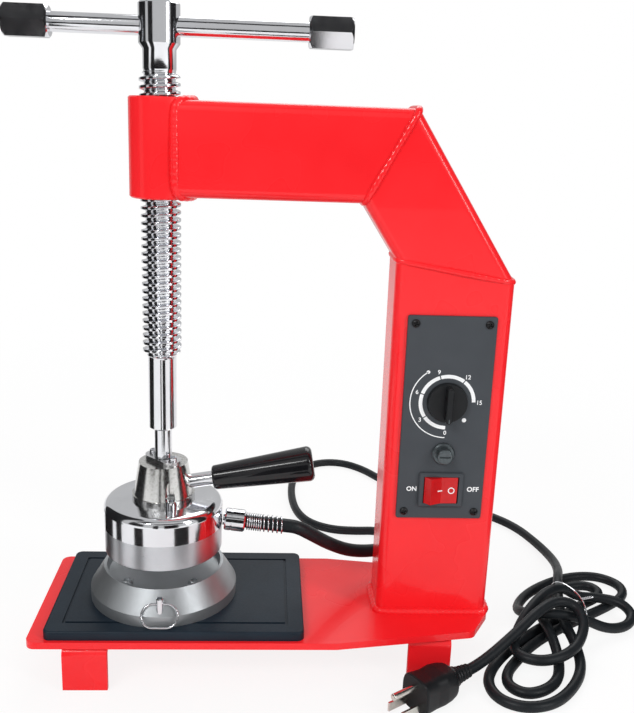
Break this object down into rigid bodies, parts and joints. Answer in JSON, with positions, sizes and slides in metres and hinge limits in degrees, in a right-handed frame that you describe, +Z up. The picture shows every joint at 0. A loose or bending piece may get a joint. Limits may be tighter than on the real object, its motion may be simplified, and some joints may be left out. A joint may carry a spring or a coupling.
{
  "type": "bench patch vulcanizer",
  "caption": "Free-standing screw press that vulcanizes rubber patches: a heated head on a screw over a plain platen, in a welded C-frame with a timer panel and a mains cord.",
  "frame": {"origin": "on the table under the middle of the press's outer box, its cord left out", "axes": "+Z up along the screw, -Y towards the operator and the control panel, +X from the screw towards the column"},
  "size_m": [0.4765, 0.4493, 0.4465],
  "materials": {
    "red_paint": "gloss",
    "black_rubber": "matt, moulded",
    "panel_paint": "satin",
    "black_screw": "blackened",
    "black_plastic": "gloss",
    "cord_black": "satin",
    "red_plastic": "gloss",
    "fuse_glass": "clear",
    "brass_pins": "bright",
    "bright_steel": "polished",
    "plain_steel": "bright zinc",
    "cast_aluminium": "turned",
    "mica": "matt",
    "thermostat_case": "matt"
  },
  "bodies": {
    "frame": {"base_plate": "red_paint", "left_foot": "red_paint", "right_foot": "red_paint", "rubber_mat": "black_rubber", "column_tube": "red_paint", "diagonal_tube": "red_paint", "arm_tube": "red_paint", "screw_boss": "red_paint", "control_panel": "panel_paint", "panel_screw_1": "black_screw", "panel_screw_2": "black_screw", "panel_screw_3": "black_screw", "panel_screw_4": "black_screw", "timer_body": "black_plastic", "fuse_holder": "black_plastic", "switch_housing": "black_plastic", "lead_grommet": "black_rubber", "cord_gland": "black_plastic", "terminal_block": "black_plastic", "lower_platen": "cast_aluminium", "platen_screw_1": "plain_steel", "platen_screw_2": "plain_steel", "platen_screw_3": "plain_steel", "platen_screw_4": "plain_steel", "head_lead": "cord_black", "power_cord": "cord_black", "cord_hank": "cord_black", "cord_tail": "cord_black", "power_plug": "cord_black", "left_blade": "brass_pins", "right_blade": "brass_pins", "ground_pin": "brass_pins"},
    "thrust": {"thrust_ball": "bright_steel"},
    "screw": {"press_screw": "bright_steel"},
    "bar": {"tommy_bar": "bright_steel", "left_bar_knob": "bright_steel", "right_bar_knob": "bright_steel"},
    "head": {"head_cone": "bright_steel", "keeper_plate": "plain_steel", "front_keeper_screw": "plain_steel", "rear_keeper_screw": "plain_steel", "front_clamp_screw": "plain_steel", "rear_clamp_screw": "plain_steel", "head_housing": "bright_steel", "heater_plate": "cast_aluminium", "heating_element": "mica", "insulation_disc": "mica", "thermostat": "thermostat_case", "handle_rod": "bright_steel", "handle_grip": "black_plastic", "lead_coupling": "plain_steel", "relief_spring": "plain_steel", "lead_stub": "cord_black"},
    "timer_dial": {"timer_knob": "black_plastic", "timer_shaft": "bright_steel"},
    "rocker": {"switch_rocker": "red_plastic"},
    "fuse_carrier": {"fuse_cap": "black_plastic", "fuse": "fuse_glass"},
    "pin": {"ring_pin": "plain_steel"},
    "ring": {"pull_ring": "plain_steel"}
  },
  "joints": [
    {"name": "press_feed", "type": "slide", "parent": "frame", "child": "thrust", "axis": [0, 0, 1], "range_m": [-0.0116, 0.0601], "deforming": ["head_lead"]},
    {"name": "screw_turn", "type": "hinge", "parent": "thrust", "child": "screw", "pos_m": [-0.07, 0, 0.3], "axis": [0, 0, 1], "range_deg": [-828, 4320]},
    {"name": "bar_slide", "type": "slide", "parent": "screw", "child": "bar", "axis": [1, 0, 0], "range_m": [-0.0797, 0.0537]},
    {"name": "head_swivel", "type": "hinge", "parent": "thrust", "child": "head", "pos_m": [-0.07, 0, 0.1269], "axis": [0, 0, 1], "range_deg": [-45, 45], "deforming": ["head_lead"]},
    {"name": "timer_turn", "type": "hinge", "parent": "frame", "child": "timer_dial", "pos_m": [0.1235, -0.0225, 0.1979], "axis": [0, 1, 0], "range_deg": [-45, 270]},
    {"name": "rocker_tip", "type": "hinge", "parent": "frame", "child": "rocker", "pos_m": [0.1235, -0.0225, 0.1344], "axis": [0, 0, -1], "range_deg": [0, 18]},
    {"name": "fuse_pull", "type": "slide", "parent": "frame", "child": "fuse_carrier", "axis": [0, -1, 0], "range_m": [0, 0.03]},
    {"name": "pin_lift", "type": "slide", "parent": "frame", "child": "pin", "axis": [0, 0, 1], "range_m": [0, 0.012]},
    {"name": "ring_swing", "type": "hinge", "parent": "pin", "child": "ring", "pos_m": [-0.0675, -0.0485, 0.0594], "axis": [-1, 0, 0], "range_deg": [0, 150]}
  ],
  "couplings": [
    {"joint": "press_feed", "follows": "screw_turn", "m_per_rad": 0.00079577}
  ]
}
